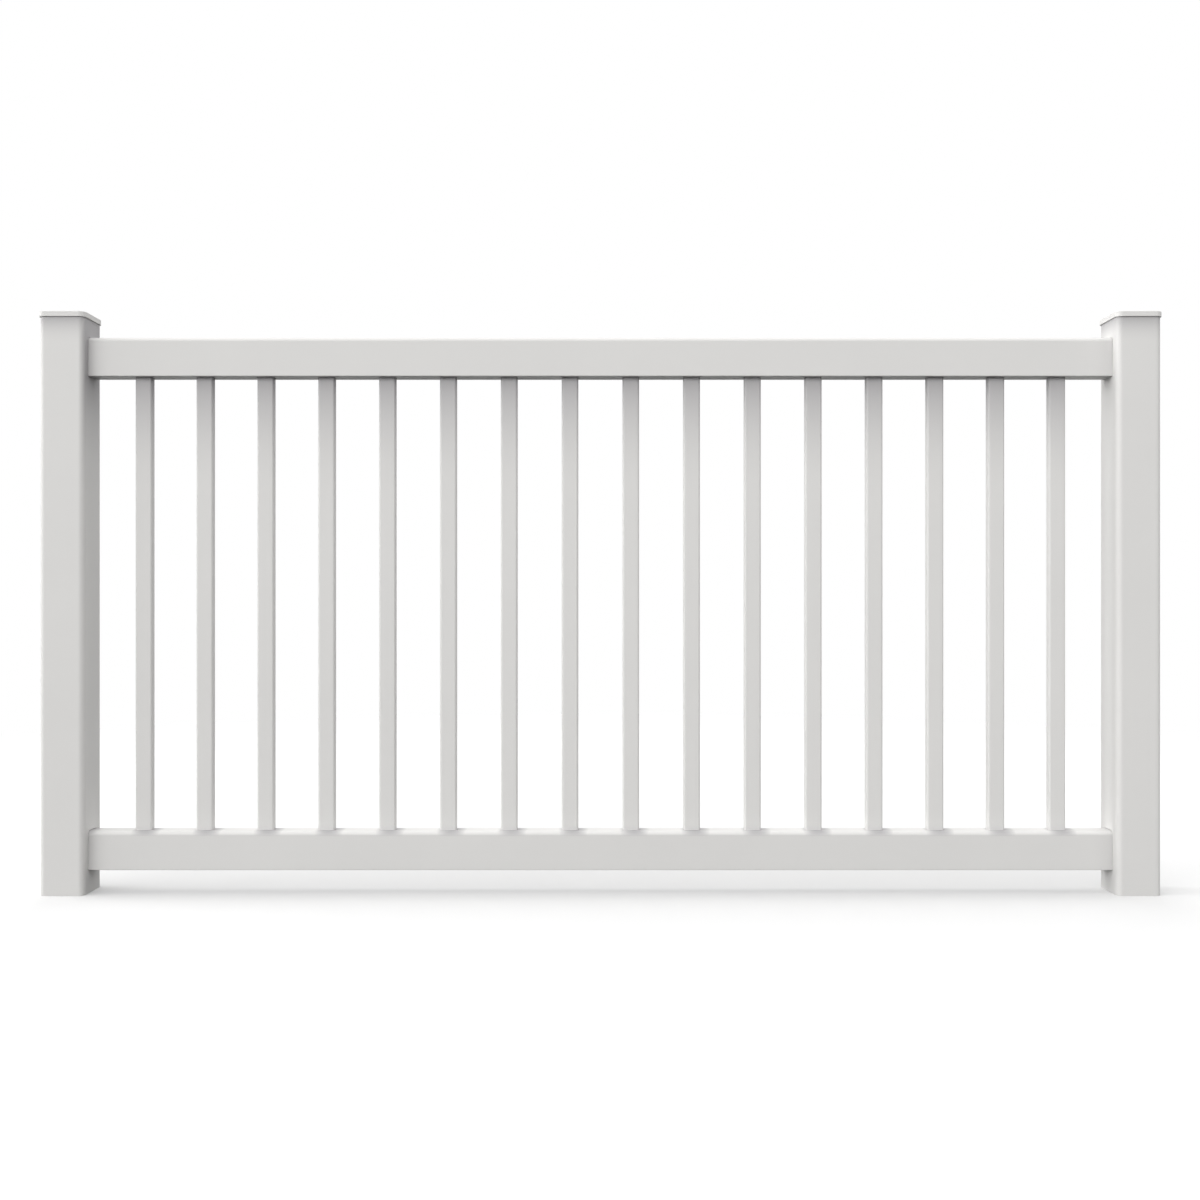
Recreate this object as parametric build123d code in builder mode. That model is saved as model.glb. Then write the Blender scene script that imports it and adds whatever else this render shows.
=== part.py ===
from build123d import *
import os

# One bay of white vinyl picket fence: two hollow posts with flat caps, two hollow rails whose
# ends pass through the posts' inner walls and lock behind them, and a row of hollow pickets
# that stand in the bottom rail and pass up into the top rail.
# Sizes are in millimetres. X runs along the fence from the left post to the right one, Y points
# away from the viewer and Z is up. The origin is the centre of the left post's foot, at ground
# level. What is set in the ground below the posts isn't part of the model.

# Layout of the bay
post_spacing = 2438.4
overall_height = 1323.0
bottom_rail_clearance = 53.0
top_rail_drop = 53.6
picket_count = 16

# Posts, square tube
post_side = 101.6
post_wall = 3.8
post_corner_radius = 12.7

# Caps, shallow trays turned over the post tops
cap_height = 12.0
cap_top_thickness = 3.0
cap_skirt_thickness = 2.6
cap_clearance = 0.4
cap_edge_radius = 1.5

# Rails, tube with rounded shoulders and nearly square lower edges
rail_depth = 50.8
rail_height = 88.9
rail_wall = 2.3
rail_shoulder_radius = 9.5
rail_lower_radius = 1.6
rail_inner_lower_radius = 0.8
rail_insertion = 38.0

# Mortises in the posts: the rail rests on the lower edge and has play at the sides and the top
mortise_side_clearance = 0.5
mortise_top_clearance = 1.0

# Lugs crimped out of the rail's side walls, which catch behind the post wall
lug_length = 9.0
lug_height = 14.0
lug_rise = 2.4
lug_play = 0.4
lug_root = 0.6

# Pickets, rectangular tube
picket_width = 38.1
picket_depth = 22.2
picket_wall = 1.8
picket_corner_radius = 4.8
picket_top_play = 6.0

# Routed holes that the pickets pass through
picket_hole_clearance = 0.4

# Weep holes in the underside of the bottom rail
weep_hole_diameter = 6.4
weep_hole_count = 4

# Spare length of every cutting shape past the wall that it cuts
cut_margin = 1.0

# Worked-out places
post_height = overall_height - cap_top_thickness
bottom_rail_underside = bottom_rail_clearance
top_rail_underside = overall_height - top_rail_drop - rail_height
post_half = post_side / 2
post_hollow_half = post_half - post_wall
post_hollow_radius = post_corner_radius - post_wall
cap_side = post_side + 2 * (cap_clearance + cap_skirt_thickness)
cap_corner_radius = post_corner_radius + cap_clearance + cap_skirt_thickness
cap_underside = overall_height - cap_height
rail_start = post_hollow_half - rail_insertion
rail_length = post_spacing - 2 * rail_start
rail_middle = post_spacing / 2
bottom_rail_floor = bottom_rail_underside + rail_wall
top_rail_ceiling = top_rail_underside + rail_height - rail_wall
picket_length = top_rail_ceiling - picket_top_play - bottom_rail_floor

# Equal gaps between the posts and all the pickets
clear_span = post_spacing - post_side
picket_gap = (clear_span - picket_count * picket_width) / (picket_count + 1)
picket_pitch = picket_width + picket_gap
first_picket_x = post_half + picket_gap + picket_width / 2
picket_places = [first_picket_x + index * picket_pitch for index in range(picket_count)]

os.makedirs("parts", exist_ok=True)

# Posts and their caps. The inner side of each post faces the other one.
for side, post_x, inward in (("left", 0.0, 1), ("right", post_spacing, -1)):
    with BuildPart() as post:
        with BuildSketch(Plane(origin=(post_x, 0, 0))):
            RectangleRounded(post_side, post_side, post_corner_radius)
            RectangleRounded(
                2 * post_hollow_half, 2 * post_hollow_half, post_hollow_radius, mode=Mode.SUBTRACT
            )
        extrude(amount=post_height)

        # One mortise for each rail, through the inner wall only
        for rail_underside in (bottom_rail_underside, top_rail_underside):
            mortise_plane = Plane(
                origin=(post_x + inward * (post_hollow_half - cut_margin), 0, rail_underside),
                x_dir=(0, inward, 0),
                z_dir=(inward, 0, 0),
            )
            with BuildSketch(mortise_plane) as mortise:
                Rectangle(
                    rail_depth + 2 * mortise_side_clearance,
                    rail_height + mortise_top_clearance,
                    align=(Align.CENTER, Align.MIN),
                )
                fillet(
                    mortise.vertices().group_by(Axis.Y)[-1],
                    rail_shoulder_radius + mortise_side_clearance,
                )
                fillet(mortise.vertices().group_by(Axis.Y)[0], rail_lower_radius)
            extrude(amount=post_wall + 2 * cut_margin, mode=Mode.SUBTRACT)
    post.part.label = f"{side}_post"
    export_step(post.part, f"parts/{side}_post.step")

    with BuildPart() as cap:
        with BuildSketch(Plane(origin=(post_x, 0, cap_underside))):
            RectangleRounded(cap_side, cap_side, cap_corner_radius)
        extrude(amount=cap_height)
        fillet(cap.edges().group_by(Axis.Z)[-1], cap_edge_radius)
        with BuildSketch(Plane(origin=(post_x, 0, cap_underside))):
            RectangleRounded(
                post_side + 2 * cap_clearance,
                post_side + 2 * cap_clearance,
                post_corner_radius + cap_clearance,
            )
        extrude(amount=cap_height - cap_top_thickness, mode=Mode.SUBTRACT)
    cap.part.label = f"{side}_post_cap"
    export_step(cap.part, f"parts/{side}_post_cap.step")

# Rails. Each has one wall routed for the pickets: the bottom rail's top wall and the top rail's
# bottom wall.
for rail_name, rail_underside, routed_wall_underside in (
    ("bottom_rail", bottom_rail_underside, bottom_rail_underside + rail_height - rail_wall),
    ("top_rail", top_rail_underside, top_rail_underside),
):
    with BuildPart() as rail:
        section_plane = Plane(
            origin=(rail_start, 0, rail_underside), x_dir=(0, 1, 0), z_dir=(1, 0, 0)
        )
        with BuildSketch(section_plane) as rail_section:
            Rectangle(rail_depth, rail_height, align=(Align.CENTER, Align.MIN))
            fillet(rail_section.vertices().group_by(Axis.Y)[-1], rail_shoulder_radius)
            fillet(rail_section.vertices().group_by(Axis.Y)[0], rail_lower_radius)
        extrude(amount=rail_length)
        with BuildSketch(section_plane) as rail_hollow:
            with Locations((0, rail_wall)):
                Rectangle(
                    rail_depth - 2 * rail_wall,
                    rail_height - 2 * rail_wall,
                    align=(Align.CENTER, Align.MIN),
                )
            fillet(
                rail_hollow.vertices().group_by(Axis.Y)[-1], rail_shoulder_radius - rail_wall
            )
            fillet(rail_hollow.vertices().group_by(Axis.Y)[0], rail_inner_lower_radius)
        extrude(amount=rail_length, mode=Mode.SUBTRACT)

        # Locking lugs, one on each side wall at each end: highest next to the post wall and
        # sloping down towards the rail's end, so that the rail snaps in
        lug_plane = Plane.XY.offset(rail_underside + (rail_height - lug_height) / 2)
        with BuildSketch(lug_plane):
            for towards_end in (-1, 1):
                lug_start = rail_middle + towards_end * (
                    post_spacing / 2 - post_hollow_half + lug_play
                )
                lug_end = lug_start + towards_end * lug_length
                for towards_back in (-1, 1):
                    wall_face = towards_back * rail_depth / 2
                    with BuildLine():
                        Polyline(
                            (lug_start, wall_face - towards_back * lug_root),
                            (lug_start, wall_face + towards_back * lug_rise),
                            (lug_end, wall_face),
                            (lug_end, wall_face - towards_back * lug_root),
                            close=True,
                        )
                    make_face()
        extrude(amount=lug_height)

        # Routed picket holes
        with BuildSketch(Plane.XY.offset(routed_wall_underside - cut_margin)):
            with Locations(*[(picket_x, 0) for picket_x in picket_places]):
                RectangleRounded(
                    picket_width + 2 * picket_hole_clearance,
                    picket_depth + 2 * picket_hole_clearance,
                    picket_corner_radius + picket_hole_clearance,
                )
        extrude(amount=rail_wall + 2 * cut_margin, mode=Mode.SUBTRACT)

        # Weep holes, spread evenly along the clear span
        if rail_name == "bottom_rail":
            weep_hole_pitch = clear_span / weep_hole_count
            with BuildSketch(Plane.XY.offset(rail_underside - cut_margin)):
                with Locations((rail_middle, 0)):
                    with GridLocations(weep_hole_pitch, 0, weep_hole_count, 1):
                        Circle(weep_hole_diameter / 2)
            extrude(amount=rail_wall + 2 * cut_margin, mode=Mode.SUBTRACT)
    rail.part.label = rail_name
    export_step(rail.part, f"parts/{rail_name}.step")

# Pickets, standing on the floor of the bottom rail
for number, picket_x in enumerate(picket_places, start=1):
    with BuildPart() as picket:
        with BuildSketch(Plane(origin=(picket_x, 0, bottom_rail_floor))):
            RectangleRounded(picket_width, picket_depth, picket_corner_radius)
            RectangleRounded(
                picket_width - 2 * picket_wall,
                picket_depth - 2 * picket_wall,
                picket_corner_radius - picket_wall,
                mode=Mode.SUBTRACT,
            )
        extrude(amount=picket_length)
    picket.part.label = f"picket_{number:02d}"
    export_step(picket.part, f"parts/picket_{number:02d}.step")
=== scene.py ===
"""A bay of white vinyl fence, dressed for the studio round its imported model.

Every visible piece is a smooth surface worked out with numpy: hollow tubes whose walls are
routed for what passes through them, and shallow caps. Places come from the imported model, in
metres; sizes that the model's boxes do not give are named values below.
"""

import logging
import math
from dataclasses import dataclass, field
from enum import Enum

import bmesh
import bpy
import numpy as np
from bpy.types import Material, Mesh, Node, NodeSocket, NodeTree, Object
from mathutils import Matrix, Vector

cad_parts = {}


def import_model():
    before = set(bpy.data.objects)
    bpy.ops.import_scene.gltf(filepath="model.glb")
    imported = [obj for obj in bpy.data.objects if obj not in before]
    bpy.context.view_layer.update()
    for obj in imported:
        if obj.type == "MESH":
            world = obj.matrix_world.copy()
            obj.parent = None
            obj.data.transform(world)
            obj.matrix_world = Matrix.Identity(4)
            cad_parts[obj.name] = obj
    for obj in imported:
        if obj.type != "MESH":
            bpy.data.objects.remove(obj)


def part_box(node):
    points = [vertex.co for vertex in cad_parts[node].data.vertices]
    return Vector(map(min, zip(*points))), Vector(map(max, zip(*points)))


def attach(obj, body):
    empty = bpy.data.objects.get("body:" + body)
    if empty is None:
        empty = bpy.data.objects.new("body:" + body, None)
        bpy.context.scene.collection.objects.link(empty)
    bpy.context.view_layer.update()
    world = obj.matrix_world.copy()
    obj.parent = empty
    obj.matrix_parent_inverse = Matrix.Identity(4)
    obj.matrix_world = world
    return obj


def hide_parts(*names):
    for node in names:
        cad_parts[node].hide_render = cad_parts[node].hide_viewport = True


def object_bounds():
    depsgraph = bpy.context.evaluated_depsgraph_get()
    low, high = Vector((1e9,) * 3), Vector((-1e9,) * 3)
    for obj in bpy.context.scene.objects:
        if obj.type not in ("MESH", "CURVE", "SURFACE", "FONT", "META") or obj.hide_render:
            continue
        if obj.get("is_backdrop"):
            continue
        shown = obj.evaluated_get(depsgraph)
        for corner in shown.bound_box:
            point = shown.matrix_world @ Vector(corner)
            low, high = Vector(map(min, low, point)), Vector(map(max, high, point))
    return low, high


LOG = logging.getLogger("fence")

Colour = tuple[float, float, float, float]

MM = 0.001
BODY = "root"

# Number of steps in a quarter circle, and of rings between a hole's corner and its cell's edge
ARC_STEPS = 8
HALF_STEPS = ARC_STEPS // 2

# Tiny bevel on every cut edge, and the angle past which two faces meet in a crisp edge
CUT_BEVEL = 0.3 * MM
CRISP_ANGLE = math.radians(32.0)
WELD_DISTANCE = 0.002 * MM

# How strongly a broad face outweighs its small neighbours in the shading, in percent
FLAT_WEIGHT = 100

# Noise that clouds the vinyl's colour, and noise that makes its draw lines or grain
CLOUD_NOISE = {"Scale": 3.5, "Detail": 5.0, "Roughness": 0.6}
LINE_NOISE = {"Scale": 1.0, "Detail": 3.0}

WHITE = (1.0, 1.0, 1.0, 1.0)


class Lie(Enum):
    """How a tube lies: the directions across its routed wall, out of that wall and along it."""

    POST_FACING_RIGHT = ((0.0, -1.0, 0.0), (1.0, 0.0, 0.0), (0.0, 0.0, 1.0))
    POST_FACING_LEFT = ((0.0, 1.0, 0.0), (-1.0, 0.0, 0.0), (0.0, 0.0, 1.0))
    RAIL_ROUTED_ABOVE = ((0.0, 1.0, 0.0), (0.0, 0.0, 1.0), (1.0, 0.0, 0.0))
    RAIL_ROUTED_BELOW = ((0.0, -1.0, 0.0), (0.0, 0.0, -1.0), (1.0, 0.0, 0.0))
    UPRIGHT = ((1.0, 0.0, 0.0), (0.0, 1.0, 0.0), (0.0, 0.0, 1.0))


class Grain(Enum):
    """How the surface was formed, as the pattern's scales along X, Y and Z per metre."""

    DRAWN_UPRIGHT = (420.0, 420.0, 2.5)
    DRAWN_ALONG = (2.5, 420.0, 420.0)
    MOULDED = (900.0, 900.0, 900.0)


def quarter_arc(centre: tuple[float, float], radius: float, start_turns: int) -> np.ndarray:
    """Points on a quarter circle, centre + radius * (cos t, sin t).

    Args:
        centre: The arc's centre.
        radius: The arc's radius.
        start_turns: The quarter turn that t starts at.

    Returns:
        An array of ARC_STEPS + 1 points with two coordinates.
    """
    turn = (start_turns + np.linspace(0.0, 1.0, ARC_STEPS + 1)) * math.pi / 2
    return np.stack((centre[0] + radius * np.cos(turn), centre[1] + radius * np.sin(turn)), axis=1)


@dataclass(frozen=True)
class Section:
    """A rounded rectangle, the outline of one face of a tube's wall.

    Its near side is the routed wall's, and its far side lies opposite.

    Attributes:
        half_across: Half its size across the routed wall.
        half_out: Half its size square to the routed wall.
        near_radius: Radius of the two corners beside the near side.
        far_radius: Radius of the two corners beside the far side.
        split: Where the flat sides' middle stretch ends, as a share of the flat's half.
    """

    half_across: float
    half_out: float
    near_radius: float
    far_radius: float
    split: float = 0.5

    @property
    def near_flat(self) -> float:
        """Half the width of the near side's flat."""
        return self.half_across - self.near_radius

    @property
    def far_flat(self) -> float:
        """Half the width of the far side's flat."""
        return self.half_across - self.far_radius

    def inset(self, distance: float) -> "Section":
        """The outline that lies inside this one by a distance.

        Args:
            distance: The distance, negative for an outline outside this one.

        Returns:
            The new outline.
        """
        return Section(
            self.half_across - distance,
            self.half_out - distance,
            self.near_radius - distance,
            self.far_radius - distance,
            self.split,
        )

    def flat_places(self, flat: float) -> np.ndarray:
        """Places across a flat side, from its positive end to its negative end."""
        outer = np.linspace(flat, flat * self.split, HALF_STEPS + 1)
        return np.concatenate((outer, -outer[::-1]))

    def outline(self) -> np.ndarray:
        """Points round the section, anticlockwise about the tube's length.

        The near flat comes first, then two corners, the far flat and the other two corners.
        A corner is centre + radius * (cos t, sin t) over a quarter turn.

        Returns:
            An array of points with two coordinates, across and out.
        """
        near_out = self.half_out - self.near_radius
        far_out = self.half_out - self.far_radius
        near_places = self.flat_places(self.near_flat)
        far_places = -self.flat_places(self.far_flat)
        near_side = np.stack((near_places, np.full(len(near_places), self.half_out)), axis=1)
        far_side = np.stack((far_places, np.full(len(far_places), -self.half_out)), axis=1)
        return np.concatenate(
            (
                near_side,
                quarter_arc((-self.near_flat, near_out), self.near_radius, 1)[1:],
                quarter_arc((-self.far_flat, -far_out), self.far_radius, 2)[:-1],
                far_side,
                quarter_arc((self.far_flat, -far_out), self.far_radius, 3)[1:],
                quarter_arc((self.near_flat, near_out), self.near_radius, 0)[:-1],
            )
        )


@dataclass(frozen=True)
class Hole:
    """A rounded opening through a tube's wall, centred across the wall.

    Attributes:
        low: Its lower end along the tube.
        high: Its higher end along the tube.
        half_width: Half its size across the wall.
        low_radius: Radius of the corners at the lower end.
        high_radius: Radius of the corners at the higher end.
    """

    low: float
    high: float
    half_width: float
    low_radius: float
    high_radius: float

    def outline(self, grow: float = 0.0) -> np.ndarray:
        """Points round the hole, anticlockwise seen from outside the wall.

        Each corner is centre + (radius + grow) * (cos t, sin t) over a quarter turn, and the
        straight sides join the corners.

        Args:
            grow: How far outside the hole's edge the points lie.

        Returns:
            An array of points with two coordinates, along the tube and across the wall.
        """
        high_along = self.high - self.high_radius
        low_along = self.low + self.low_radius
        high_across = self.half_width - self.high_radius
        low_across = self.half_width - self.low_radius
        return np.concatenate(
            (
                quarter_arc((high_along, high_across), self.high_radius + grow, 0),
                quarter_arc((low_along, low_across), self.low_radius + grow, 1),
                quarter_arc((low_along, -low_across), self.low_radius + grow, 2),
                quarter_arc((high_along, -high_across), self.high_radius + grow, 3),
            )
        )


@dataclass(frozen=True)
class Cell:
    """A stretch of a tube with a hole in its near wall, and perhaps one in its far wall.

    Attributes:
        low: Its lower end along the tube.
        high: Its higher end along the tube.
        near: The hole in the near wall.
        far: The hole in the far wall, or None.
    """

    low: float
    high: float
    near: Hole
    far: Hole | None = None

    def low_places(self) -> np.ndarray:
        """Rings from the cell's lower end to the straight sides of its near hole."""
        return np.linspace(self.low, self.near.low + self.near.low_radius, HALF_STEPS + 1)

    def high_places(self) -> np.ndarray:
        """Rings from the straight sides of the near hole to the cell's higher end."""
        return np.linspace(self.near.high - self.near.high_radius, self.high, HALF_STEPS + 1)

    def places(self) -> np.ndarray:
        """All the rings of the cell along the tube, in order."""
        return np.concatenate((self.low_places(), self.high_places()))

    def border(self, flat: float, split: float) -> np.ndarray:
        """Points round the cell's edge on a flat wall, matched to a hole's outline.

        Half of each corner's points run up one side to the corner, and half run on from it.

        Args:
            flat: Half the width of the wall's flat.
            split: Where the flat's middle stretch ends, as a share of its half.

        Returns:
            An array of points with two coordinates, along the tube and across the wall.
        """
        across = np.linspace(flat * split, flat, HALF_STEPS + 1)
        high = self.high_places()
        low = self.low_places()
        rising = np.stack((np.full(HALF_STEPS + 1, self.high), across), axis=1)
        back = np.stack((high[::-1], np.full(HALF_STEPS + 1, flat)), axis=1)
        first = np.concatenate((rising, back[1:]))
        onward = np.stack((low[::-1], np.full(HALF_STEPS + 1, flat)), axis=1)
        falling = np.stack((np.full(HALF_STEPS + 1, self.low), across[::-1]), axis=1)
        second = np.concatenate((onward, falling[1:]))
        mirror = np.array((1.0, -1.0))
        return np.concatenate((first, second, second[::-1] * mirror, first[::-1] * mirror))


@dataclass
class Shell:
    """Grids of points gathered into one closed mesh.

    Attributes:
        points: The points of each grid added so far.
        quads: The quads of each grid added so far.
        count: How many points there are.
    """

    points: list[np.ndarray] = field(default_factory=list)
    quads: list[np.ndarray] = field(default_factory=list)
    count: int = 0

    def add(self, grid: np.ndarray, reverse: bool, keep: np.ndarray | None = None) -> None:
        """Adds a grid whose rows close into a ring.

        Args:
            grid: Points, as rows x columns x 3.
            reverse: Whether the quads go round the other way.
            keep: Which quads to keep, as rows x (columns - 1), or None for all.
        """
        rows, columns = grid.shape[:2]
        number = self.count + np.arange(rows * columns).reshape(rows, columns)
        following = np.roll(number, -1, axis=0)
        quads = np.stack((number[:, :-1], number[:, 1:], following[:, 1:], following[:, :-1]), axis=-1)
        if reverse:
            quads = quads[..., ::-1]
        self.quads.append(quads[keep] if keep is not None else quads.reshape(-1, 4))
        self.points.append(grid.reshape(-1, 3))
        self.count += rows * columns

    def build(self, name: str) -> Object:
        """Makes the object, with the grids' shared points welded.

        Args:
            name: The object's name.

        Returns:
            The new object, linked to the scene, at the origin.
        """
        mesh = bpy.data.meshes.new(name)
        mesh.from_pydata(np.concatenate(self.points).tolist(), [], np.concatenate(self.quads).tolist())
        piece = bpy.data.objects.new(name, mesh)
        bpy.context.scene.collection.objects.link(piece)
        weld(mesh)
        mesh.shade_smooth()
        mesh.set_sharp_from_angle(angle=CRISP_ANGLE)
        flatten = piece.modifiers.new("even_flats", "WEIGHTED_NORMAL")
        flatten.mode = "FACE_AREA"
        flatten.weight = FLAT_WEIGHT
        flatten.keep_sharp = True
        return piece


def weld(mesh: Mesh) -> None:
    """Joins a mesh's points that lie in one place, which closes its seams and poles.

    Args:
        mesh: The mesh.
    """
    work = bmesh.new()
    work.from_mesh(mesh)
    bmesh.ops.remove_doubles(work, verts=work.verts, dist=WELD_DISTANCE)
    bmesh.ops.dissolve_degenerate(work, edges=work.edges, dist=WELD_DISTANCE)
    work.to_mesh(mesh)
    work.free()


@dataclass
class Tube:
    """A hollow drawn tube, with holes routed in its near and far walls.

    Attributes:
        node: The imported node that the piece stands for.
        lie: How the tube lies.
        outer: The outline of its outer face.
        inner: The outline of its hollow.
        cells: The stretches with holes, in order.
        centre: The middle of its section, with zero along its length.
        start: Its lower end along its length.
        end: Its higher end along its length.
    """

    node: str
    lie: Lie
    outer: Section
    inner: Section
    cells: list[Cell] = field(default_factory=list)
    centre: np.ndarray = field(init=False)
    start: float = field(init=False)
    end: float = field(init=False)

    def __post_init__(self) -> None:
        """Takes the tube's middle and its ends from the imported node's box."""
        low, high = (np.array(corner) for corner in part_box(self.node))
        length_axis = np.array(self.lie.value[2])
        self.centre = (low + high) / 2 * (1.0 - length_axis)
        self.start, self.end = float(low @ length_axis), float(high @ length_axis)

    def place(self, across: np.ndarray, out: np.ndarray, along: np.ndarray) -> np.ndarray:
        """Carries section coordinates to the frame: centre + across * A + out * B + along * C.

        Args:
            across: Coordinates across the routed wall, in the direction A.
            out: Coordinates out of that wall, in the direction B.
            along: Coordinates along the tube, in the direction C.

        Returns:
            An array of points with three coordinates.
        """
        local = np.stack(np.broadcast_arrays(across, out, along), axis=-1)
        return self.centre + local @ np.array(self.lie.value)

    def rings(self) -> np.ndarray:
        """Places along the tube of all its rings, in order."""
        first, last = [self.start + CUT_BEVEL], [self.end - CUT_BEVEL]
        return np.concatenate((first, *(cell.places() for cell in self.cells), last))

    def kept_quads(self, rows: int, rings: np.ndarray) -> np.ndarray:
        """Marks the wall's quads that no holed cell takes up.

        Args:
            rows: Number of points round the section.
            rings: Places of the rings along the tube.

        Returns:
            True or False for each quad, as rows x (rings - 1).
        """
        keep = np.ones((rows, len(rings) - 1), dtype=bool)
        middle = (rings[:-1] + rings[1:]) / 2
        flat_rows = 2 * HALF_STEPS + 1
        far_start = 2 * HALF_STEPS + 2 + 2 * ARC_STEPS
        for cell in self.cells:
            inside = (middle > cell.low) & (middle < cell.high)
            keep[:flat_rows, inside] = False
            if cell.far:
                keep[far_start : far_start + flat_rows, inside] = False
        return keep

    def sweep(self, shell: Shell) -> None:
        """Carries both outlines along the tube and leaves out the holed cells.

        Args:
            shell: The surface to add to.
        """
        rings = self.rings()
        for section, reverse in ((self.outer, True), (self.inner, False)):
            outline = section.outline()
            grid = self.place(outline[:, :1], outline[:, 1:], rings[None, :])
            shell.add(grid, reverse, self.kept_quads(len(outline), rings))

    def close_end(self, shell: Shell, end: float, inward: float) -> None:
        """Closes one cut end: bevel, flat rim and bevel from the outer face to the hollow.

        Args:
            shell: The surface to add to.
            end: Place of the cut end along the tube.
            inward: 1 or -1, the way along the tube from this end into it.
        """
        steps = (
            (self.outer, inward * CUT_BEVEL),
            (self.outer.inset(CUT_BEVEL), 0.0),
            (self.inner.inset(-CUT_BEVEL), 0.0),
            (self.inner, inward * CUT_BEVEL),
        )
        columns = [
            self.place(outline[:, 0], outline[:, 1], np.full(len(outline), end + depth))
            for outline, depth in ((section.outline(), depth) for section, depth in steps)
        ]
        shell.add(np.stack(columns, axis=1), reverse=inward < 0)

    def pierce(self, shell: Shell, cell: Cell, hole: Hole, side: float) -> None:
        """Fills a cell's wall round its hole and lines the hole.

        The columns run from the cell's edge on the outer face to the hole's bevelled edge,
        through the wall and back out to the cell's edge on the hollow's face.

        Args:
            shell: The surface to add to.
            cell: The stretch that holds the hole.
            hole: The hole.
            side: 1 for the near wall or -1 for the far one.
        """
        outer_flat = self.outer.near_flat if side > 0 else self.outer.far_flat
        inner_flat = self.inner.near_flat if side > 0 else self.inner.far_flat
        grown = hole.outline(CUT_BEVEL)
        edge = hole.outline()
        steps = (
            (cell.border(outer_flat, self.outer.split), self.outer.half_out),
            (grown, self.outer.half_out),
            (edge, self.outer.half_out - CUT_BEVEL),
            (edge, self.inner.half_out + CUT_BEVEL),
            (grown, self.inner.half_out),
            (cell.border(inner_flat, self.inner.split), self.inner.half_out),
        )
        columns = [
            self.place(side * loop[:, 1], np.full(len(loop), side * out), loop[:, 0])
            for loop, out in steps
        ]
        shell.add(np.stack(columns, axis=1), reverse=True)

    def shell(self) -> Shell:
        """Works out the tube's whole surface.

        Returns:
            The surface, open to more grids.
        """
        shell = Shell()
        self.sweep(shell)
        self.close_end(shell, self.start, 1.0)
        self.close_end(shell, self.end, -1.0)
        for cell in self.cells:
            self.pierce(shell, cell, cell.near, 1.0)
            if cell.far:
                self.pierce(shell, cell, cell.far, -1.0)
        return shell


def fill_inputs(tree: NodeTree, node: Node, inputs: dict[str | int, object]) -> None:
    """Fills a node's inputs.

    Args:
        tree: The tree that holds the node.
        node: The node.
        inputs: An output to link or a constant to set, by each input's name or number.
    """
    for name, value in inputs.items():
        if isinstance(value, NodeSocket):
            tree.links.new(value, node.inputs[name])
        else:
            node.inputs[name].default_value = value


def add_node(tree: NodeTree, kind: str, inputs: dict[str | int, object]) -> Node:
    """Adds a node and fills its inputs.

    Args:
        tree: The tree to add it to.
        kind: The node's type.
        inputs: An output to link or a constant to set, by each input's name or number.

    Returns:
        The node.
    """
    node = tree.nodes.new(kind)
    fill_inputs(tree, node, inputs)
    return node


def combine(tree: NodeTree, operation: str, *values: NodeSocket | float) -> NodeSocket:
    """Adds a Math node on the given values.

    Args:
        tree: The tree to add it to.
        operation: The node's operation.
        values: Outputs to link or numbers to set, in the inputs' order.

    Returns:
        The node's output.
    """
    node = add_node(tree, "ShaderNodeMath", dict(enumerate(values)))
    node.operation = operation
    return node.outputs["Value"]


def ramp(tree: NodeTree, value: NodeSocket, start: float, end: float) -> NodeSocket:
    """Falls from 1 where the value is start to 0 where it is end, and stays there.

    Args:
        tree: The tree to add the node to.
        value: The value to read.
        start: Value that gives 1.
        end: Value that gives 0.

    Returns:
        The node's output.
    """
    fall = {"Value": value, "From Min": start, "From Max": end, "To Min": 1.0, "To Max": 0.0}
    return add_node(tree, "ShaderNodeMapRange", fall).outputs["Result"]


def split_view(tree: NodeTree, output: str, own: NodeSocket, seen: NodeSocket) -> None:
    """Ends a tree in which camera, glossy and transmission rays see a shader of their own.

    Args:
        tree: The nodes of a material or of the surround.
        output: The type of its output node.
        own: The shader for all other rays.
        seen: The shader that those rays see.
    """
    path = tree.nodes.new("ShaderNodeLightPath")
    direct = combine(tree, "MAXIMUM", path.outputs["Is Camera Ray"], path.outputs["Is Glossy Ray"])
    those = combine(tree, "MAXIMUM", direct, path.outputs["Is Transmission Ray"])
    mix = add_node(tree, "ShaderNodeMixShader", {"Fac": those, 1: own, 2: seen})
    add_node(tree, output, {"Surface": mix.outputs["Shader"]})


@dataclass(frozen=True)
class PaintedJointShade:
    """Painted shade that darkens the vinyl beside a joint, where shade falls, fading away from it.

    Attributes:
        axis: The axis that it fades along: X, Y or Z.
        start: Where the joint is along that axis.
        reach: How far the painted shade goes, negative towards smaller coordinates.
        depth: How much of the vinyl's colour it hides at the joint.
    """

    axis: str
    start: float
    reach: float
    depth: float

    def share(self, tree: NodeTree, place: Node) -> NodeSocket:
        """Painted shade at each place: depth times the square of what is left of the reach."""
        left = ramp(tree, place.outputs[self.axis], self.start, self.start + self.reach)
        return combine(tree, "MULTIPLY", combine(tree, "POWER", left, 2.0), self.depth)


@dataclass(frozen=True)
class PaintedCornerShade:
    """Painted shade below a joint that keeps to one side of the piece.

    Attributes:
        below: How it fades below the joint.
        beside: How it fades round the corners of that side.
    """

    below: PaintedJointShade
    beside: PaintedJointShade

    def share(self, tree: NodeTree, place: Node) -> NodeSocket:
        """Painted shade at each place: the product of both shares."""
        return combine(tree, "MULTIPLY", self.below.share(tree, place), self.beside.share(tree, place))


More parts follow.
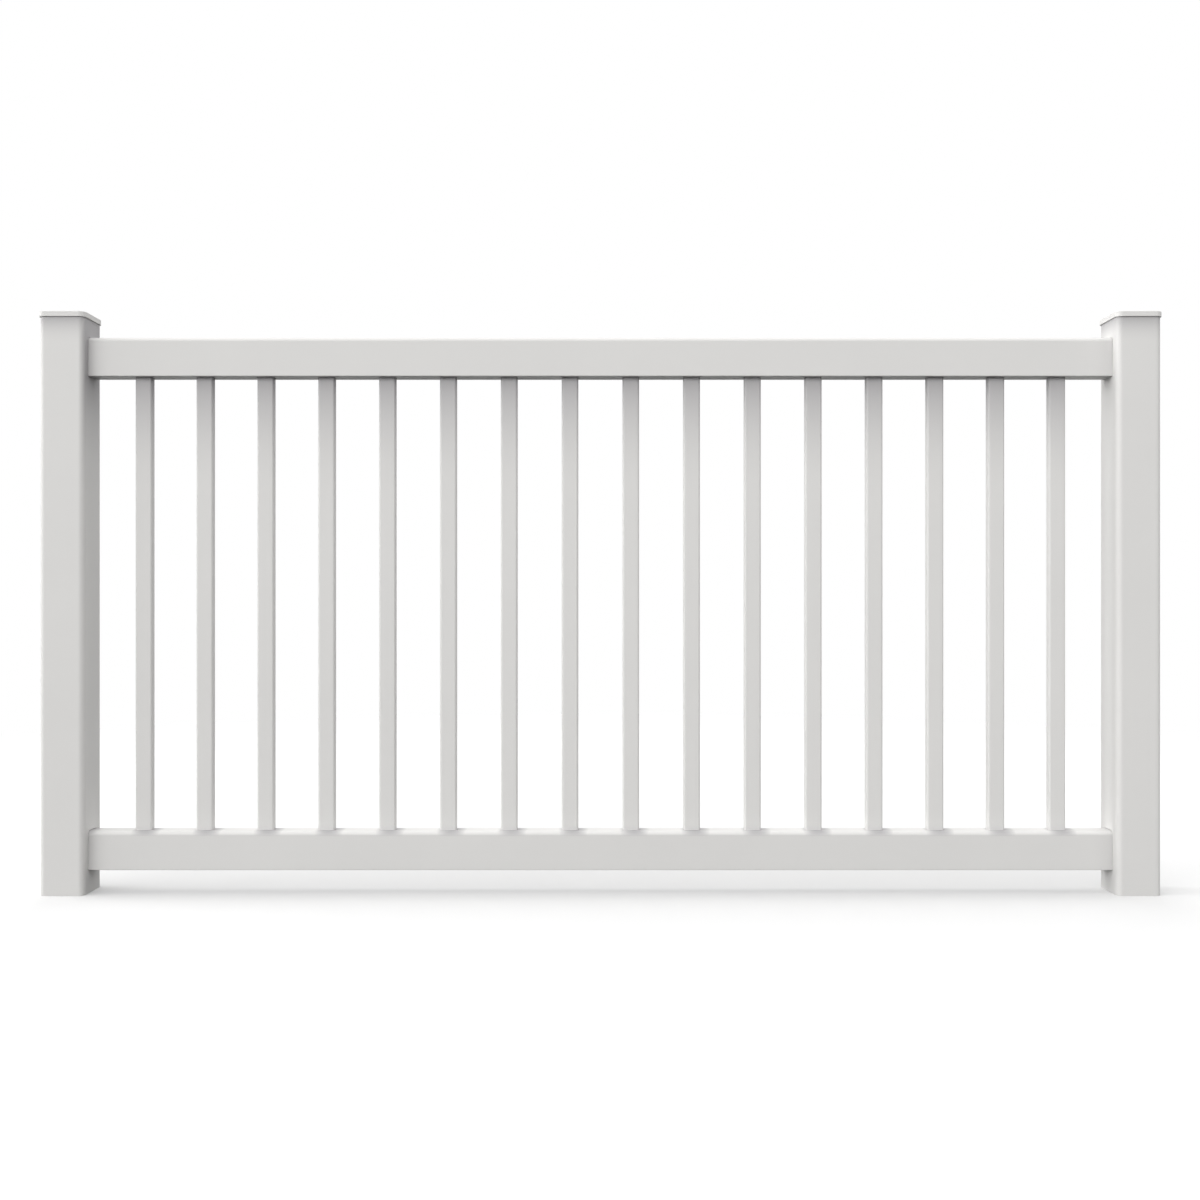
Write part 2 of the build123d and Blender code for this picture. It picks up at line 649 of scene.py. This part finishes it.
@dataclass(frozen=True)
class PaintedFootShade:
    """Painted shade on the bottom rail round the feet of the pickets, in soft ovals.

    Attributes:
        first: Middle of the first oval along the rail.
        pitch: Distance between two ovals.
        half_length: Half an oval's length along the rail.
        half_depth: Half its size across the rail.
        top: Height of the rail's top.
        full_drop: How far down the rail's shoulders it stays as dark.
        drop: How far down the rail's shoulders it goes.
        depth: How much of the vinyl's colour it hides at its darkest.
    """

    first: float
    pitch: float
    half_length: float
    half_depth: float
    top: float
    full_drop: float
    drop: float
    depth: float

    def share(self, tree: NodeTree, place: Node) -> NodeSocket:
        """Painted shade at each place: depth * (1 - x^2 / a^2 - y^2 / b^2) * height share.

        Here x is the distance from the nearest oval's middle, y the distance from the rail's
        middle, and a and b are the oval's half sizes.

        Args:
            tree: The material's nodes.
            place: The node with the place's coordinates.

        Returns:
            The share, as a node's output.
        """
        from_first = combine(tree, "SUBTRACT", place.outputs["X"], self.first)
        nearest = combine(tree, "PINGPONG", from_first, self.pitch / 2)
        along = combine(tree, "POWER", combine(tree, "DIVIDE", nearest, self.half_length), 2.0)
        side = combine(tree, "ABSOLUTE", place.outputs["Y"])
        across = combine(tree, "POWER", combine(tree, "DIVIDE", side, self.half_depth), 2.0)
        oval = ramp(tree, combine(tree, "ADD", along, across), 0.0, 1.0)
        height = ramp(tree, place.outputs["Z"], self.top - self.full_drop, self.top - self.drop)
        return combine(tree, "MULTIPLY", combine(tree, "MULTIPLY", oval, height), self.depth)


@dataclass(frozen=True)
class VinylFinish:
    """White vinyl: a satin skin with faint draw lines or a fine moulded grain.

    Attributes:
        name: The material's name.
        grain: How the surface was formed.
        painted_shade: Shade painted into its colour beside its joints.
        light: Its lighter colour.
        dark: Its darker colour, where the skin is a touch duller.
        painted_shade_colour: The colour of the painted shade.
        cloud_edges: Where the noise turns from the darker to the lighter colour.
        roughness: Its middle roughness.
        roughness_swing: How far its roughness goes up and down.
        refraction: Its index of refraction.
        gloss: Its specular level.
        relief: Height of the grain.
        relief_share: How much of that height shows.
    """

    name: str
    grain: Grain
    painted_shade: tuple[PaintedJointShade | PaintedCornerShade | PaintedFootShade, ...] = ()
    light: Colour = (0.758, 0.75, 0.734, 1.0)
    dark: Colour = (0.738, 0.73, 0.715, 1.0)
    painted_shade_colour: Colour = (0.4, 0.39, 0.4, 1.0)
    cloud_edges: tuple[float, float] = (0.3, 0.7)
    roughness: float = 0.5
    roughness_swing: float = 0.06
    refraction: float = 1.5
    gloss: float = 0.3
    relief: float = 0.02 * MM
    relief_share: float = 0.5

    def material(self) -> Material:
        """Makes the material: clouded colour, uneven sheen and a fine relief.

        Returns:
            The new material.
        """
        vinyl = bpy.data.materials.new(self.name)
        vinyl.use_nodes = True
        tree = vinyl.node_tree
        place = tree.nodes.new("ShaderNodeTexCoord").outputs["Object"]

        clouds = add_node(tree, "ShaderNodeTexNoise", {"Vector": place, **CLOUD_NOISE})
        colour = add_node(tree, "ShaderNodeValToRGB", {"Fac": clouds.outputs["Fac"]})
        low, high = colour.color_ramp.elements
        low.position, high.position = self.cloud_edges
        low.color, high.color = self.dark, self.light

        stretch = add_node(tree, "ShaderNodeMapping", {"Vector": place, "Scale": self.grain.value})
        stretched = stretch.outputs["Vector"]
        lines = add_node(tree, "ShaderNodeTexNoise", {"Vector": stretched, **LINE_NOISE})
        swing = {
            "Value": lines.outputs["Fac"],
            "To Min": self.roughness - self.roughness_swing,
            "To Max": self.roughness + self.roughness_swing,
        }
        height = {
            "Height": lines.outputs["Fac"],
            "Distance": self.relief,
            "Strength": self.relief_share,
        }
        skin = {
            "Base Color": self.with_painted_shade(tree, place, colour.outputs["Color"]),
            "Roughness": add_node(tree, "ShaderNodeMapRange", swing).outputs["Result"],
            "Normal": add_node(tree, "ShaderNodeBump", height).outputs["Normal"],
            "IOR": self.refraction,
            "Specular IOR Level": self.gloss,
        }
        fill_inputs(tree, tree.nodes["Principled BSDF"], skin)
        return vinyl

    def with_painted_shade(self, tree: NodeTree, place: NodeSocket, colour: NodeSocket) -> NodeSocket:
        """Paints the joints' shade over the vinyl's colour, at each place the darkest of it.

        Args:
            tree: The material's nodes.
            place: The places on the piece.
            colour: The vinyl's colour.

        Returns:
            The colour with the dust.
        """
        if not self.painted_shade:
            return colour
        split = add_node(tree, "ShaderNodeSeparateXYZ", {"Vector": place})
        darkest_share, *others = [painted_shade.share(tree, split) for painted_shade in self.painted_shade]
        for share in others:
            darkest_share = combine(tree, "MAXIMUM", darkest_share, share)
        cover = tree.nodes.new("ShaderNodeMix")
        cover.data_type = "RGBA"
        fill_inputs(tree, cover, {"Factor": darkest_share, "A": colour, "B": self.painted_shade_colour})
        return cover.outputs["Result"]


def dress(piece: Object, node: str, finish: Material) -> None:
    """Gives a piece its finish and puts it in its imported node's place.

    Args:
        piece: The new piece.
        node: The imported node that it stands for.
        finish: Its material.
    """
    piece.data.materials.append(finish)
    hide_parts(node)
    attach(piece, BODY)
    LOG.info("%s stands for %s with %d faces", piece.name, node, len(piece.data.polygons))


@dataclass
class Posts:
    """The two posts, routed on their inner sides for the rails.

    Attributes:
        wall: Thickness of the wall.
        corner_radius: Radius of the outer corners.
        side_clearance: Play between a rail and the side of its mortise.
        top_clearance: Play between a rail and the top of its mortise.
        shoulder_radius: Radius of the rails' upper edges.
        lower_radius: Radius of the rails' lower edges.
        cell_margin: Length of the routed stretch past each end of a mortise.
    """

    wall: float = 3.8 * MM
    corner_radius: float = 12.7 * MM
    side_clearance: float = 0.5 * MM
    top_clearance: float = 1.0 * MM
    shoulder_radius: float = 9.5 * MM
    lower_radius: float = 1.6 * MM
    cell_margin: float = 20.0 * MM

    def mortise_cell(self, rail_node: str, rail_half_depth: float) -> Cell:
        """The routed stretch for one rail.

        Args:
            rail_node: The rail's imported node.
            rail_half_depth: Half the rail's size across the fence.

        Returns:
            The cell round the rail's mortise.
        """
        rail_low, rail_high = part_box(rail_node)
        mortise = Hole(
            rail_low.z,
            rail_high.z + self.top_clearance,
            rail_half_depth + self.side_clearance,
            self.lower_radius,
            self.shoulder_radius + self.side_clearance,
        )
        return Cell(mortise.low - self.cell_margin, mortise.high + self.cell_margin, mortise)

    def build(self, left_finish: Material, right_finish: Material, rail_half_depth: float) -> None:
        """Makes both posts.

        Args:
            left_finish: The left post's material.
            right_finish: The right post's material.
            rail_half_depth: Half the rails' size across the fence.
        """
        cells = [self.mortise_cell(node, rail_half_depth) for node in ("bottom_rail", "top_rail")]
        posts = (
            ("left_post", Lie.POST_FACING_RIGHT, left_finish),
            ("right_post", Lie.POST_FACING_LEFT, right_finish),
        )
        for node, lie, finish in posts:
            low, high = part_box(node)
            half = (high.x - low.x) / 2
            outer = Section(half, half, self.corner_radius, self.corner_radius)
            tube = Tube(node, lie, outer, outer.inset(self.wall), cells)
            dress(tube.shell().build(f"{node}_tube"), node, finish)


@dataclass
class Pickets:
    """The row of pickets between the rails.

    Attributes:
        count: How many there are.
        wall: Thickness of the wall.
        corner_radius: Radius of the outer corners.
    """

    count: int = 16
    wall: float = 1.8 * MM
    corner_radius: float = 4.8 * MM

    def nodes(self) -> list[str]:
        """The pickets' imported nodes, from the left."""
        return [f"picket_{number:02d}" for number in range(1, self.count + 1)]

    def places(self) -> np.ndarray:
        """The pickets' centres along the fence."""
        boxes = [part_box(node) for node in self.nodes()]
        return np.array([(low.x + high.x) / 2 for low, high in boxes])

    def half_sizes(self) -> tuple[float, float]:
        """Half a picket's width along the fence and half its depth across it."""
        low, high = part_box(self.nodes()[0])
        return (high.x - low.x) / 2, (high.y - low.y) / 2

    def build(self, finish: Material) -> None:
        """Makes every picket.

        Args:
            finish: The pickets' material.
        """
        outer = Section(*self.half_sizes(), self.corner_radius, self.corner_radius)
        for node in self.nodes():
            tube = Tube(node, Lie.UPRIGHT, outer, outer.inset(self.wall))
            dress(tube.shell().build(f"{node}_tube"), node, finish)


@dataclass
class Rails:
    """The two rails, routed for the pickets.

    Attributes:
        depth: Size across the fence, without the lugs at the ends.
        wall: Thickness of the wall.
        shoulder_radius: Radius of the upper edges.
        lower_radius: Radius of the lower edges.
        inner_lower_radius: Radius of the hollow's lower edges.
        hole_clearance: Play between a picket and its hole.
        picket_radius: Radius of a picket's corners.
        weep_radius: Radius of the bottom rail's weep holes.
        weep_count: Number of weep holes.
        post_wall: Thickness of the post wall that the lugs lock behind.
        lug_length: Length of a locking lug.
        lug_height: Height of a locking lug.
        lug_rise: How far a lug stands out at its higher end.
        lug_play: Play between a lug and the post wall.
        lug_root: How far a lug reaches into the rail's wall.
        lug_crown: Size of a lug's bevelled ends, as a share of its section.
        flat_split: Where the flats' middle stretch ends, as a share of the flat's half.
    """

    depth: float = 50.8 * MM
    wall: float = 2.3 * MM
    shoulder_radius: float = 9.5 * MM
    lower_radius: float = 1.6 * MM
    inner_lower_radius: float = 0.8 * MM
    hole_clearance: float = 0.4 * MM
    picket_radius: float = 4.8 * MM
    weep_radius: float = 3.2 * MM
    weep_count: int = 4
    post_wall: float = 3.8 * MM
    lug_length: float = 9.0 * MM
    lug_height: float = 14.0 * MM
    lug_rise: float = 2.4 * MM
    lug_play: float = 0.4 * MM
    lug_root: float = 0.6 * MM
    lug_crown: float = 0.9
    flat_split: float = 0.35

    def weep_places(self) -> np.ndarray:
        """Centres of the weep holes, spread evenly between the posts.

        Returns:
            Their places along the fence.
        """
        left_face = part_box("left_post")[1].x
        right_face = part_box("right_post")[0].x
        pitch = (right_face - left_face) / self.weep_count
        return left_face + pitch * (np.arange(self.weep_count) + 0.5)

    def cells(self, pickets: Pickets, weeps: np.ndarray) -> list[Cell]:
        """The routed stretches of a rail, one round each picket.

        Args:
            pickets: The row of pickets.
            weeps: Centres of the weep holes in the far wall, if any.

        Returns:
            The cells in order along the rail.
        """
        places = pickets.places()
        half_pitch = (places[1] - places[0]) / 2
        half_width, half_depth = pickets.half_sizes()
        reach = half_width + self.hole_clearance
        radius = self.picket_radius + self.hole_clearance
        cells = []
        for place in places:
            near = Hole(place - reach, place + reach, half_depth + self.hole_clearance, radius, radius)
            here = weeps[np.abs(weeps - place) < half_pitch]
            far = None
            if len(here):
                size = self.weep_radius
                far = Hole(here[0] - size, here[0] + size, size, size, size)
            cells.append(Cell(place - half_pitch, place + half_pitch, near, far))
        return cells

    def add_lugs(self, shell: Shell, middle_height: float) -> None:
        """Adds the four locking lugs, wedges that are highest next to the post walls.

        A lug's section goes round root, crest, tip and root again. It is carried up through the
        lug's height and shrinks to its centre at both ends, which closes it.

        Args:
            shell: The rail's surface.
            middle_height: Height of the rail's middle.
        """
        face = self.depth / 2
        low, high = middle_height - self.lug_height / 2, middle_height + self.lug_height / 2
        levels = np.array((low, low, low + CUT_BEVEL, high - CUT_BEVEL, high, high))
        shares = np.array((0.0, self.lug_crown, 1.0, 1.0, self.lug_crown, 0.0))
        inner_faces = (
            (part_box("left_post")[1].x - self.post_wall - self.lug_play, -1.0),
            (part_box("right_post")[0].x + self.post_wall + self.lug_play, 1.0),
        )
        for start, outward in inner_faces:
            tip = start + outward * self.lug_length
            for side in (-1.0, 1.0):
                section = np.array(
                    (
                        (start, side * (face - self.lug_root)),
                        (start, side * (face + self.lug_rise)),
                        (tip, side * face),
                        (tip, side * (face - self.lug_root)),
                    )
                )
                centre = section.mean(axis=0)
                grid = np.empty((len(section), len(levels), 3))
                grid[..., :2] = centre + (section - centre)[:, None, :] * shares[None, :, None]
                grid[..., 2] = levels
                shell.add(grid, reverse=outward * side < 0)

    def build(self, bottom_finish: Material, top_finish: Material, pickets: Pickets) -> None:
        """Makes both rails.

        Args:
            bottom_finish: The bottom rail's material.
            top_finish: The top rail's material.
            pickets: The row of pickets that the rails are routed for.
        """
        shoulder, lower = self.shoulder_radius, self.lower_radius
        hollow_radius = {shoulder: shoulder - self.wall, lower: self.inner_lower_radius}
        above, below = Lie.RAIL_ROUTED_ABOVE, Lie.RAIL_ROUTED_BELOW
        rails = (
            ("bottom_rail", above, shoulder, lower, self.weep_places(), bottom_finish),
            ("top_rail", below, lower, shoulder, np.empty(0), top_finish),
        )
        for node, lie, near_radius, far_radius, weeps, finish in rails:
            low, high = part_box(node)
            half_depth, half_height = self.depth / 2, (high.z - low.z) / 2
            outer = Section(half_depth, half_height, near_radius, far_radius, self.flat_split)
            inner = Section(
                half_depth - self.wall,
                half_height - self.wall,
                hollow_radius[near_radius],
                hollow_radius[far_radius],
                self.flat_split,
            )
            tube = Tube(node, lie, outer, inner, self.cells(pickets, weeps))
            shell = tube.shell()
            self.add_lugs(shell, tube.centre[2])
            dress(shell.build(f"{node}_tube"), node, finish)


@dataclass
class Caps:
    """The flat caps, shallow trays turned over the post tops.

    Attributes:
        top_thickness: Thickness of the top.
        skirt_thickness: Thickness of the skirt.
        corner_radius: Radius of the skirt's outer corners.
        edge_radius: Radius of the top's edge.
    """

    top_thickness: float = 3.0 * MM
    skirt_thickness: float = 2.6 * MM
    corner_radius: float = 15.7 * MM
    edge_radius: float = 1.5 * MM

    def profile(self, underside: float, top: float) -> np.ndarray:
        """The path that the cap's outline follows, from the ceiling to the middle of the top.

        The top's edge is inset = r * (1 - sin t), height = top - r + r * cos t.

        Args:
            underside: Height of the skirt's lower edge.
            top: Height of the top.

        Returns:
            Rows of inset from the outer outline, height, and share of the outline's size.
        """
        ceiling = top - self.top_thickness
        skirt = self.skirt_thickness
        turn = np.linspace(math.pi / 2, 0.0, ARC_STEPS + 1)
        edge = np.stack(
            (
                self.edge_radius * (1 - np.sin(turn)),
                top - self.edge_radius + self.edge_radius * np.cos(turn),
                np.ones(len(turn)),
            ),
            axis=1,
        )
        inside = (
            (skirt, ceiling, 0.0),
            (skirt, ceiling, 1.0),
            (skirt, underside + CUT_BEVEL, 1.0),
            (skirt - CUT_BEVEL, underside, 1.0),
            (CUT_BEVEL, underside, 1.0),
            (0.0, underside + CUT_BEVEL, 1.0),
        )
        return np.concatenate((np.array(inside), edge, np.array([(self.edge_radius, top, 0.0)])))

    def build(self, finish: Material) -> None:
        """Makes both caps.

        Args:
            finish: The caps' material.
        """
        for node in ("left_post_cap", "right_post_cap"):
            low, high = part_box(node)
            half = (high.x - low.x) / 2
            outline = Section(half, half, self.corner_radius, self.corner_radius)
            columns = []
            for inset, height, share in self.profile(low.z, high.z):
                ring = outline.inset(inset).outline() * share
                columns.append(np.column_stack((ring, np.full(len(ring), height))))
            grid = np.stack(columns, axis=1)
            grid[..., 0] += (low.x + high.x) / 2
            grid[..., 1] += (low.y + high.y) / 2
            shell = Shell()
            shell.add(grid, reverse=True)
            dress(shell.build(f"{node}_moulding"), node, finish)


@dataclass(frozen=True)
class PaintedShade:
    """Where shade is painted into the fence's colour beside its joints, and how dark.

    Attributes:
        cap_reach: How far it goes down the posts from the caps.
        cap_depth: How much of the vinyl's colour it hides just under the caps.
        head_reach: How far it goes down from the top rail.
        head_depth: The same share just under the top rail.
        foot_reach: How far it goes up the pickets from the bottom rail.
        foot_depth: The same share at the pickets' feet.
        post_reach: How far it goes along the rails from the posts.
        post_depth: The same share where the rails meet the posts.
        side_reach: How far it goes round the corners of the left post's inner side.
        oval_depth: The same share on the rail round the pickets' feet.
        side_spread: How far it goes past a picket's sides on the bottom rail.
        front_spread: The same past a picket's front and back.
        rightward_shift: How far it lies to the right of a picket's middle, where the picket's shadow
            falls.
        full_drop: How far down the bottom rail's shoulders it stays as dark.
        drop: How far it goes down the bottom rail's shoulders.
    """

    cap_reach: float = 60.0 * MM
    cap_depth: float = 0.8
    head_reach: float = 280.0 * MM
    head_depth: float = 0.88
    foot_reach: float = 20.0 * MM
    foot_depth: float = 0.35
    post_reach: float = 55.0 * MM
    post_depth: float = 0.35
    side_reach: float = 12.7 * MM
    oval_depth: float = 1.0
    side_spread: float = 16.0 * MM
    front_spread: float = 50.0 * MM
    rightward_shift: float = 8.0 * MM
    full_drop: float = 4.0 * MM
    drop: float = 12.0 * MM

    def under_caps(self) -> tuple[PaintedJointShade, ...]:
        """On the posts, under the caps."""
        return (PaintedJointShade("Z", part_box("left_post_cap")[0].z, -self.cap_reach, self.cap_depth),)

    def under_top_rail(self) -> PaintedJointShade:
        """Downwards from the top rail."""
        return PaintedJointShade("Z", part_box("top_rail")[0].z, -self.head_reach, self.head_depth)

    def on_left_post(self) -> tuple[PaintedJointShade | PaintedCornerShade, ...]:
        """On the left post, under its cap and on its inner side under the top rail."""
        beside = PaintedJointShade("X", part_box("left_post")[1].x, -self.side_reach, 1.0)
        return (*self.under_caps(), PaintedCornerShade(self.under_top_rail(), beside))

    def on_pickets(self) -> tuple[PaintedJointShade, ...]:
        """On the pickets, under the top rail and at their feet."""
        foot = PaintedJointShade("Z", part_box("bottom_rail")[1].z, self.foot_reach, self.foot_depth)
        return self.under_top_rail(), foot

    def beside_posts(self) -> tuple[PaintedJointShade, ...]:
        """On the rails, beside the posts."""
        left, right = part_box("left_post")[1].x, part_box("right_post")[0].x
        ends = ((left, self.post_reach), (right, -self.post_reach))
        return tuple(PaintedJointShade("X", start, reach, self.post_depth) for start, reach in ends)

    def round_feet(self, pickets: Pickets) -> PaintedFootShade:
        """On the bottom rail, round the pickets' feet.

        Args:
            pickets: The row of pickets.

        Returns:
            The painted shade in its ovals.
        """
        places = pickets.places()
        return PaintedFootShade(
            first=float(places[0]) + self.rightward_shift,
            pitch=float(places[1] - places[0]),
            half_length=pickets.half_sizes()[0] + self.side_spread,
            half_depth=pickets.half_sizes()[1] + self.front_spread,
            top=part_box("bottom_rail")[1].z,
            full_drop=self.full_drop,
            drop=self.drop,
            depth=self.oval_depth,
        )


@dataclass(frozen=True)
class SoftLamp:
    """A broad, distant studio lamp.

    Attributes:
        name: The lamp's name.
        bearing: Where it stands, in degrees from straight in front, positive towards +X.
        elevation: How high it stands, in degrees above the ground.
        spread: How broad it looks, in degrees.
        strength: Its strength.
    """

    name: str
    bearing: float
    elevation: float
    spread: float
    strength: float

    def towards(self) -> Vector:
        """The direction from the fence to the lamp.

        Returns:
            A vector of length 1.
        """
        bearing, elevation = math.radians(self.bearing), math.radians(self.elevation)
        level = math.cos(elevation)
        return Vector((math.sin(bearing) * level, -math.cos(bearing) * level, math.sin(elevation)))

    def build(self) -> None:
        """Makes the lamp, turned to the fence."""
        lamp = bpy.data.lights.new(self.name, "SUN")
        lamp.energy = self.strength
        lamp.angle = math.radians(self.spread)
        stand = bpy.data.objects.new(self.name, lamp)
        bpy.context.scene.collection.objects.link(stand)
        stand.rotation_euler = self.towards().to_track_quat("Z", "Y").to_euler()


@dataclass
class Studio:
    """The floor, the surrounding light and the lamps.

    Attributes:
        middle: The middle of the fence along X.
        floor_half: Half the floor's side.
        shadow_reach: Distance from the middle past which the floor is plain white.
        fade_share: Share of that distance over which its shading fades in.
        floor_colour: The floor's own colour, which throws little light back.
        floor_seen: The floor's colour as it is seen.
        glow: Strength of the surrounding light.
    """

    middle: float
    floor_half: float = 30.0
    shadow_reach: float = 4.5
    fade_share: float = 0.4
    floor_colour: Colour = (0.01, 0.01, 0.01, 1.0)
    floor_seen: Colour = (0.85, 0.85, 0.85, 1.0)
    glow: float = 0.9

    def floor_paint(self) -> Material:
        """Makes the floor's paint, which keeps the fence's shadow and turns plain white far off.

        Returns:
            The new material.
        """
        paint = bpy.data.materials.new("studio_floor")
        paint.use_nodes = True
        tree = paint.node_tree
        tree.nodes.clear()
        own = add_node(tree, "ShaderNodeBsdfDiffuse", {"Color": self.floor_colour})
        shaded = add_node(tree, "ShaderNodeBsdfDiffuse", {"Color": self.floor_seen})
        plain = add_node(tree, "ShaderNodeEmission", {"Color": WHITE, "Strength": 1.0})
        scale = 1 / self.shadow_reach
        centred = {
            "Vector": tree.nodes.new("ShaderNodeTexCoord").outputs["Object"],
            "Location": (-self.middle / self.shadow_reach, 0.0, 0.0),
            "Scale": (scale, scale, 1.0),
        }
        reach = add_node(tree, "ShaderNodeMapping", centred)
        pool = add_node(tree, "ShaderNodeTexGradient", {"Vector": reach.outputs["Vector"]})
        pool.gradient_type = "SPHERICAL"
        fading = {"Value": pool.outputs["Fac"], "From Max": self.fade_share}
        near = add_node(tree, "ShaderNodeMapRange", fading)
        near.interpolation_type = "SMOOTHSTEP"
        surfaces = {1: plain.outputs["Emission"], 2: shaded.outputs["BSDF"]}
        fade = add_node(tree, "ShaderNodeMixShader", {"Fac": near.outputs["Result"], **surfaces})
        split_view(tree, "ShaderNodeOutputMaterial", own.outputs["BSDF"], fade.outputs["Shader"])
        return paint

    def build_floor(self) -> None:
        """Makes the pale floor."""
        side = self.floor_half
        signs = ((-1, -1), (1, -1), (1, 1), (-1, 1))
        corners = [(self.middle + x * side, y * side, 0.0) for x, y in signs]
        mesh = bpy.data.meshes.new("studio_floor")
        mesh.from_pydata(corners, [], [(0, 1, 2, 3)])
        mesh.materials.append(self.floor_paint())
        floor = bpy.data.objects.new("studio_floor", mesh)
        bpy.context.scene.collection.objects.link(floor)
        floor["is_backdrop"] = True

    def build_surround(self) -> None:
        """Makes the surrounding light, seen as plain white."""
        world = bpy.data.worlds.new("studio_surround")
        bpy.context.scene.world = world
        world.use_nodes = True
        tree = world.node_tree
        tree.nodes.clear()
        lit = add_node(tree, "ShaderNodeBackground", {"Color": WHITE, "Strength": self.glow})
        seen = add_node(tree, "ShaderNodeBackground", {"Color": WHITE, "Strength": 1.0})
        surfaces = lit.outputs["Background"], seen.outputs["Background"]
        split_view(tree, "ShaderNodeOutputWorld", *surfaces)

    def lamps(self) -> list[SoftLamp]:
        """The lamps: one in front, three from the left and one behind."""
        return [
            SoftLamp("front_lamp", bearing=0.0, elevation=25.0, spread=30.0, strength=0.64),
            SoftLamp("left_front_lamp", bearing=-45.0, elevation=10.0, spread=40.0, strength=0.94),
            SoftLamp("left_low_lamp", bearing=-90.0, elevation=10.0, spread=40.0, strength=1.03),
            SoftLamp("left_lamp", bearing=-90.0, elevation=35.0, spread=40.0, strength=0.6),
            SoftLamp("back_lamp", bearing=180.0, elevation=50.0, spread=40.0, strength=0.35),
        ]

    def build(self) -> None:
        """Makes the whole studio."""
        self.build_floor()
        self.build_surround()
        for lamp in self.lamps():
            lamp.build()
        LOG.info("studio with %d lamps", len(self.lamps()))


@dataclass
class Camera:
    """The camera, level and square to the fence.

    Attributes:
        middle: The middle of the fence along X.
        distance: How far it stands in front of the fence's middle plane.
        height: Its height above the ground.
        side_step: How far it stands from the middle, towards +X.
        focal_pixels: Its focal length in pixels of the 1200-pixel image.
        image_side: The image's side in pixels.
        sensor: The sensor's width in millimetres.
        far_clip: How far it sees.
    """

    middle: float
    distance: float = 2.9
    height: float = 0.6696
    side_step: float = -0.0009
    focal_pixels: float = 1260.0
    image_side: float = 1200.0
    sensor: float = 36.0
    far_clip: float = 200.0

    def build(self) -> None:
        """Makes the camera and sets it as the scene's."""
        data = bpy.data.cameras.new("photo_camera")
        data.sensor_width = self.sensor
        data.lens = self.focal_pixels * self.sensor / self.image_side
        data.clip_end = self.far_clip
        camera = bpy.data.objects.new("photo_camera", data)
        bpy.context.scene.collection.objects.link(camera)
        camera.location = (self.middle + self.side_step, -self.distance, self.height)
        camera.rotation_euler = (math.pi / 2, 0.0, 0.0)
        bpy.context.scene.camera = camera


def main() -> None:
    """Builds the fence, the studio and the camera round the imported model."""
    logging.basicConfig(level=logging.INFO, format="%(name)s: %(message)s")
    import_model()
    cad_low, cad_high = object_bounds()
    bpy.context.scene.view_settings.view_transform = "Standard"

    rails = Rails()
    pickets = Pickets()
    # Shade painted into the vinyl's colour under the caps and top rail, beside the posts and round the
    # pickets' feet
    painted_shade = PaintedShade()
    left_vinyl = VinylFinish("vinyl_left_post", Grain.DRAWN_UPRIGHT, painted_shade.on_left_post())
    right_vinyl = VinylFinish("vinyl_right_post", Grain.DRAWN_UPRIGHT, painted_shade.under_caps())
    pickets_vinyl = VinylFinish("vinyl_pickets", Grain.DRAWN_UPRIGHT, painted_shade.on_pickets())
    top_vinyl = VinylFinish("vinyl_top_rail", Grain.DRAWN_ALONG, painted_shade.beside_posts())
    bottom_painted_shade = (*painted_shade.beside_posts(), painted_shade.round_feet(pickets))
    bottom_vinyl = VinylFinish("vinyl_bottom_rail", Grain.DRAWN_ALONG, bottom_painted_shade)
    caps_vinyl = VinylFinish("vinyl_moulded", Grain.MOULDED, roughness=0.45)
    Posts().build(left_vinyl.material(), right_vinyl.material(), rails.depth / 2)
    Caps().build(caps_vinyl.material())
    rails.build(bottom_vinyl.material(), top_vinyl.material(), pickets)
    pickets.build(pickets_vinyl.material())

    middle = (cad_low.x + cad_high.x) / 2
    Studio(middle).build()
    Camera(middle).build()


if __name__ == "__main__":
    main()
